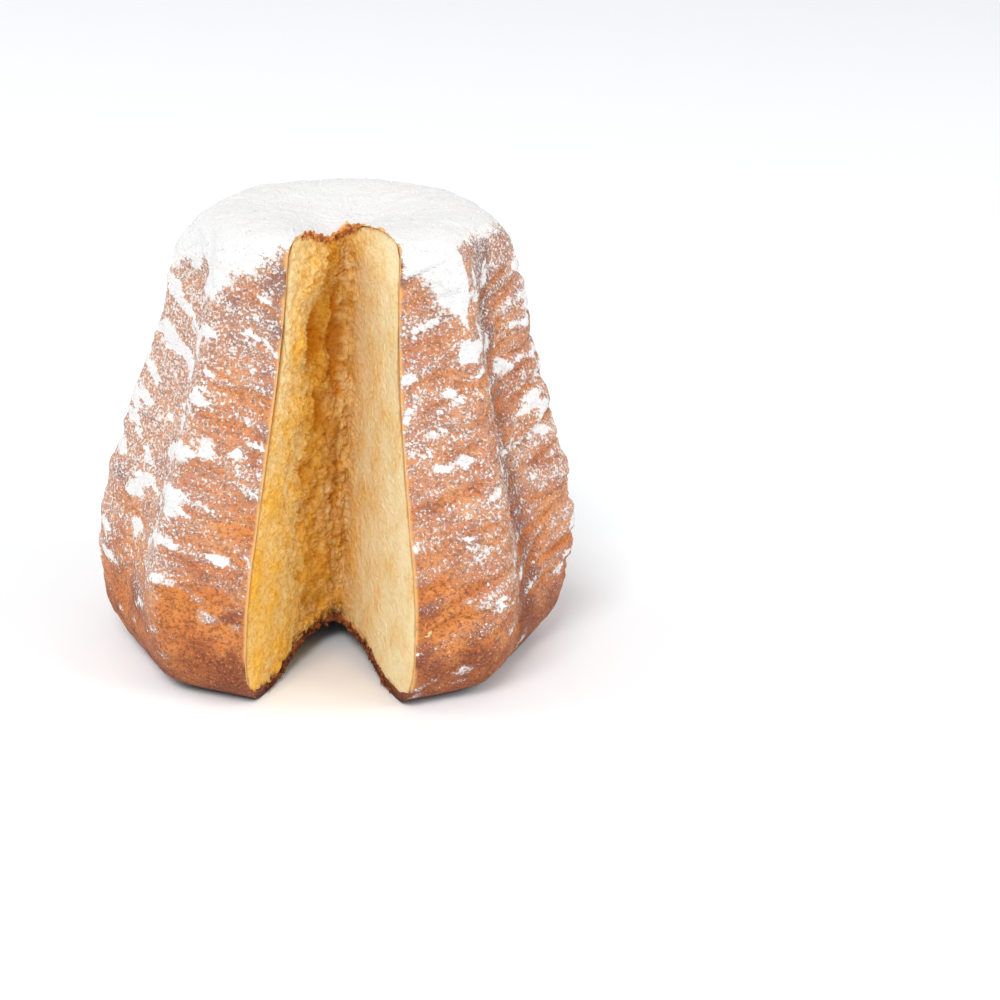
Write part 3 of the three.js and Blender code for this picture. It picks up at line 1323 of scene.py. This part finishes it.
    def _ahead(self, u: np.ndarray, v: np.ndarray, step: float = 0.004) -> np.ndarray:
        """The directions out of the undisturbed surface.

        Args:
            u: how far across.
            v: how far up.
            step: how far the surface is followed to find its slope.

        Returns:
            One row per point.
        """
        along = self.sheet(np.clip(u + step, 0, 1), v) - self.sheet(np.clip(u - step, 0, 1), v)
        upward = self.sheet(u, np.clip(v + step, 0, 1)) - self.sheet(u, np.clip(v - step, 0, 1))
        out = np.cross(along, upward)
        out /= np.maximum(np.linalg.norm(out, axis=1), 1e-12)[:, None]
        return -out if np.sum(out[:, 1]) > 0 else out

    def _carve(self, piece: bpy.types.Object, front: Front) -> np.ndarray:
        """Puts the fine front in place, then tears and opens its crumb.

        Args:
            piece: the lining.
            front: its fine front.

        Returns:
            How far each vertex of the front rises out of the undisturbed surface.
        """
        f, rip = front, front.rip
        rise = (0.0004 + 0.0026 * rip) * f.lumps + rip * (0.0015 * f.tufts + 0.0015 * (f.clumps - 0.5))
        rise += (0.00018 + 0.00075 * rip) * (f.beads - 0.4) + (0.00022 + 0.00055 * rip) * f.fibres
        rise -= f.pits + 0.0014 * f.brown
        for hollow in self.hollows:
            off = ((f.reach - hollow.reach) / hollow.width) ** 2
            off = off + ((f.climb - hollow.climb) / hollow.tall) ** 2
            rise -= hollow.depth * np.exp(-off) * ease(0.52, 0.47, f.u) * (1 + 0.35 * f.tufts)
        border = np.minimum.reduce([f.u, 1 - f.u, f.v, 1 - f.v])
        rise = np.clip(rise, -self.grain.deepest, self.grain.highest) * ease(0.0, 0.030, border) - self.recess
        places = coordinates(piece)
        places[f.on] = f.places + self._ahead(f.u, f.v) * rise[:, None]
        place_vertices(piece, places)
        return rise

    def _tone(self, piece: bpy.types.Object, front: Front, rise: np.ndarray) -> None:
        """Keeps what the finish reads: how torn, how deeply in painted shade and how near the crust each
        place is.

        Args:
            piece: the lining.
            front: its fine front.
            rise: how far the front rises.
        """
        f, rip, u = front, front.rip, front.u
        # A painted highlight: the tops of clumps and beads are drawn paler on the torn crumb.
        highlit_tops = ease(0.1, 0.9, 0.60 * f.clumps + 0.40 * f.beads)
        pale = ease(0.20, 0.03, u) * ease(0.40, 0.70, f.v)
        # Painted shade: the left face and the crease are drawn deeper gold, and the right face goldener
        # towards the crease; the rest is the crumb's own tone.
        torn = 0.10 + 0.80 * f.left - 0.50 * pale + 0.34 * f.crease + 0.40 * f.lumps - 0.34 * rip * highlit_tops
        torn = torn + 0.42 * ease(0.84, 0.56, u) * (1 - f.left)
        # Painted shade: amber in the recesses, between the lumps and along the crease.
        between = ease(0.50, -0.1, 0.5 * f.beads + 0.5 * f.clumps)
        deep = 0.95 * ease(0.0006, 0.0044, -rise) + 0.40 * rip * between
        deep = deep + 0.50 * f.crease * (0.6 + 0.5 * f.tufts)
        edges = [self.edge(side, f.v)[0] for side in Side]
        from_side = np.where(u < 0.5, *edges) - f.reach
        from_base = f.climb - self.shape.sunk(f.reach)
        from_crown = self.shape.top(f.reach, self.shape.half) - f.climb
        from_crown = from_crown - self.shape.crumbled(f.turn, f.reach)
        skin = np.minimum.reduce([from_side, from_base * 0.7, from_crown * 0.8])
        # The rim is the crumb toasted next to the crust; the brown of the torn end along the crease is
        # painted shade.
        rim = np.maximum(ease(0.0024, 0.0002, skin + 0.0008 * f.tufts), 0.72 * f.brown)
        base_rim = ease(0.0070, 0.0020, from_base + 0.0026 * f.tufts)
        for name, values in (("torn", torn), ("hollow", deep), ("rim", rim), ("base_rim", base_rim)):
            whole = np.zeros(len(f.on))
            whole[f.on] = values
            store(piece, name, whole)

    def _one_finish(self, piece: bpy.types.Object) -> None:
        """Marks the edge between the front and the back, and makes them one material."""
        pick(piece, "EDGE", lambda edge: len({face.material_index for face in edge.link_faces}) > 1)
        bpy.ops.mesh.mark_sharp()
        close_mesh()
        piece.data.polygons.foreach_set("material_index", np.zeros(len(piece.data.polygons), np.int32))
        piece.data.attributes.remove(piece.data.attributes["across"])


# The icing sugar and the flakes


class Scatter:
    """Many copies of one low, rough lump, laid on a surface as a single piece."""

    def __init__(self, name: str, seed: int) -> None:
        """Models the lump once.

        Args:
            name: the piece's name.
            seed: the seed of its random draws.
        """
        self.name = name
        self.chance = np.random.default_rng(seed)
        clear_selection()
        bpy.ops.mesh.primitive_ico_sphere_add(subdivisions=1, radius=1.0)
        lump = bpy.context.object
        open_mesh(lump)
        bpy.ops.mesh.select_all(action="SELECT")
        bpy.ops.transform.resize(value=(1.0, 0.8, 0.45), center_override=(0, 0, 0))
        close_mesh()
        self.corners = coordinates(lump)
        self.faces = np.array([list(face.vertices) for face in lump.data.polygons])
        bpy.data.objects.remove(lump)

    def lay(self, middles: np.ndarray, up: np.ndarray, sizes: np.ndarray, uneven: float) -> bpy.types.Object:
        """Lays the copies, each turned at random about its own upright.

        Args:
            middles: one row per copy.
            up: the direction of each copy's upright.
            sizes: half of each copy's width.
            uneven: how far its corners stray, as a share of its size.

        Returns:
            The piece.
        """
        count = len(middles)
        spin = self.chance.random(count) * 2 * math.pi
        helper = np.where(np.abs(up[:, 2:3]) < 0.9, [[0.0, 0.0, 1.0]], [[1.0, 0.0, 0.0]])
        side = np.cross(helper, up)
        side /= np.linalg.norm(side, axis=1)[:, None]
        front = np.cross(up, side)
        cos, sin = np.cos(spin)[:, None], np.sin(spin)[:, None]
        side, front = side * cos + front * sin, front * cos - side * sin
        rough = 1 + uneven * (self.chance.random((count, len(self.corners))) - 0.5)
        local = self.corners[None] * rough[..., None] * sizes[:, None, None]
        points = middles[:, None] + local[..., :1] * side[:, None] + local[..., 1:2] * front[:, None]
        points = points + local[..., 2:] * up[:, None]
        index = self.faces[None] + (np.arange(count) * len(self.corners))[:, None, None]
        made = bpy.data.meshes.new(self.name)
        made.from_pydata(points.reshape(-1, 3).tolist(), [], index.reshape(-1, 3).tolist())
        piece = bpy.data.objects.new(self.name, made)
        bpy.context.scene.collection.objects.link(piece)
        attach(piece, BODY)
        return piece


@dataclass
class IcingSugar:
    """Loose grains and lumps of sugar lying on the crust, thickest where the dusting is."""

    crust: bpy.types.Object
    grains: int = 6500
    smallest: float = 0.00028
    largest: float = 0.0011
    uneven: float = 0.35
    lowest: float = 0.02
    seed: int = 8

    def build(self) -> bpy.types.Object:
        """Scatters the lumps over the crust.

        Returns:
            The sugar's object.
        """
        mesh = self.crust.data
        middle, normal = read(mesh.polygons, "center", 3), read(mesh.polygons, "normal", 3)
        area = read(mesh.polygons, "area")
        sugar = read(mesh.attributes["sugar"].data, "value")
        dusting = sugar[[face.vertices[0] for face in mesh.polygons]]
        outward = np.sum(middle[:, :2] * normal[:, :2], 1) > 0
        flat = normal[:, 2] > 0.6
        shown = (outward | flat) & (area < 1e-5)  # the inner side's faces are larger
        weight = area * dusting**1.6 * shown * (middle[:, 2] > self.lowest) * np.where(flat, 0.35, 1.0)
        scatter = Scatter("icing_sugar", self.seed)
        chosen = scatter.chance.choice(len(area), self.grains, p=weight / weight.sum())
        size = self.smallest + (self.largest - self.smallest) * scatter.chance.random(self.grains) ** 3
        piece = scatter.lay(middle[chosen], normal[chosen], size, self.uneven)
        work_on(piece)
        bpy.ops.object.shade_smooth()
        piece.data.materials.append(SugarFinish().build())
        return piece


@dataclass
class Flakes:
    """Bits of dark crust that cling to the cut's edges at the crown and the base."""

    crumb: Crumb
    at_crown: int = 300
    at_base: int = 460
    smallest: float = 0.00045
    largest: float = 0.0017
    uneven: float = 0.7
    stray: float = 0.0016
    clear: float = 0.0004
    seed: int = 21

    def build(self) -> bpy.types.Object:
        """Scatters the bits along the edges.

        Returns:
            The bits' object.
        """
        scatter = Scatter("crust_flakes", self.seed)
        draw = scatter.chance.random
        crown_u = 0.10 + 0.54 * draw(self.at_crown)
        base_u = 0.06 + 0.88 * draw(self.at_base)
        crown_v = 1 - 0.010 * draw(self.at_crown) ** 2
        base_v = 0.018 * draw(self.at_base) ** 1.5
        middles = self.crumb.sheet(np.append(crown_u, base_u), np.append(crown_v, base_v))
        middles += np.array([*self.crumb.axis, 0.0])
        count = len(middles)
        middles += (draw((count, 3)) - 0.5) * self.stray
        middles[:self.at_crown, 2] += 0.0010
        up = draw((count, 3)) - 0.5
        up /= np.linalg.norm(up, axis=1)[:, None]
        size = self.smallest + (self.largest - self.smallest) * draw(count) ** 2
        middles[:, 2] = np.maximum(middles[:, 2], size + self.clear)
        piece = scatter.lay(middles, up, size, self.uneven)
        store(piece, "bake", ease(0.15, 0.05, coordinates(piece)[:, 2]))
        piece.data.materials.append(FlakeFinish().build())
        return piece


# The table, the lights and the camera


@dataclass(frozen=True)
class Lamp:
    """A soft square lamp: where it is, its width and its power. It is turned to the loaf."""

    name: str
    place: tuple[float, float, float]
    width: float
    power: float


@dataclass
class Studio:
    """A white table under soft light, and the camera."""

    axis: tuple[float, float]
    table_width: float = 12.0
    sky: float = 0.56
    aim: tuple[float, float, float] = (0.0, 0.0, 0.10)
    lamps: tuple[Lamp, ...] = (
        Lamp("key", (-1.1, -3.9, 4.2), 2.4, 192.0),
        Lamp("window", (-3.4, 0.6, 2.6), 2.4, 48.0),
        Lamp("fill", (3.4, -1.6, 2.4), 2.4, 66.0),
    )
    stand: tuple[float, float, float] = (0.0325, -1.2164, 0.5161)
    heading: float = 2.17
    pitch: float = 20.15
    roll: float = 1.32
    lens: float = 99.1
    sensor: float = 36.0

    def build(self) -> None:
        """Builds the table, lamps, sky and camera."""
        self._table()
        for lamp in self.lamps:
            self._lamp(lamp)
        self._sky()
        self._camera()

    def _table(self) -> None:
        """Lays the table top."""
        clear_selection()
        bpy.ops.mesh.primitive_plane_add(size=self.table_width, location=(0, 0, 0))
        table = bpy.context.object
        table.name = "table"
        table.data.materials.append(TableFinish().build())

    def _lamp(self, lamp: Lamp) -> None:
        """Hangs one lamp, turned to the loaf."""
        light = bpy.data.lights.new(lamp.name, "AREA")
        light.shape, light.size, light.energy = "SQUARE", lamp.width, lamp.power
        holder = bpy.data.objects.new(lamp.name, light)
        holder.location = lamp.place
        holder.rotation_euler = (Vector(self.aim) - Vector(lamp.place)).to_track_quat("-Z", "Y").to_euler()
        bpy.context.scene.collection.objects.link(holder)

    def _sky(self) -> None:
        """Fills the room with even white light."""
        world = bpy.context.scene.world or bpy.data.worlds.new("room")
        bpy.context.scene.world = world
        world.use_nodes = True
        background = world.node_tree.nodes["Background"]
        background.inputs["Color"].default_value = (1, 1, 1, 1)
        background.inputs["Strength"].default_value = self.sky
        bpy.context.scene.view_settings.view_transform = "Standard"

    def _camera(self) -> None:
        """Sets up the camera."""
        camera = bpy.data.cameras.new("camera")
        camera.lens, camera.sensor_width, camera.clip_end = self.lens, self.sensor, 30.0
        turn, tilt, roll = (math.radians(a) for a in (self.heading, self.pitch, self.roll))
        ahead = Vector((math.cos(tilt) * math.sin(turn), math.cos(tilt) * math.cos(turn), -math.sin(tilt)))
        right = Vector((math.cos(turn), -math.sin(turn), 0))
        up = right.cross(ahead)
        tipped = right * math.cos(roll) + up * math.sin(roll)
        risen = up * math.cos(roll) - right * math.sin(roll)
        pose = Matrix((tipped, risen, -ahead)).transposed().to_4x4()
        pose.translation = Vector(self.stand) + Vector((self.axis[0], self.axis[1], 0))
        holder = bpy.data.objects.new("camera", camera)
        holder.matrix_world = pose
        bpy.context.scene.collection.objects.link(holder)
        bpy.context.scene.camera = holder


def main() -> None:
    """Builds the pandoro and its studio."""
    logging.basicConfig(level=logging.INFO, format="%(name)s: %(message)s")
    shape, torn = LoafShape(), TornEnd()
    axis = shape.axis_offset()
    log.info("the star's axis stands at %.2f, %.2f mm", axis[0] / MM, axis[1] / MM)
    crust = Crust(shape, axis).build()
    log.info("%s: %d faces", crust.name, len(crust.data.polygons))
    left = Crumb(shape, torn, axis, "crumb_left", (0.0, 0.5))
    right = Crumb(shape, torn, axis, "crumb_right", (0.5, 1.0))
    for maker in (left, right, IcingSugar(crust), Flakes(left)):
        piece = maker.build()
        log.info("%s: %d faces", piece.name, len(piece.data.polygons))
    Studio(axis).build()


if __name__ == "__main__":
    main()
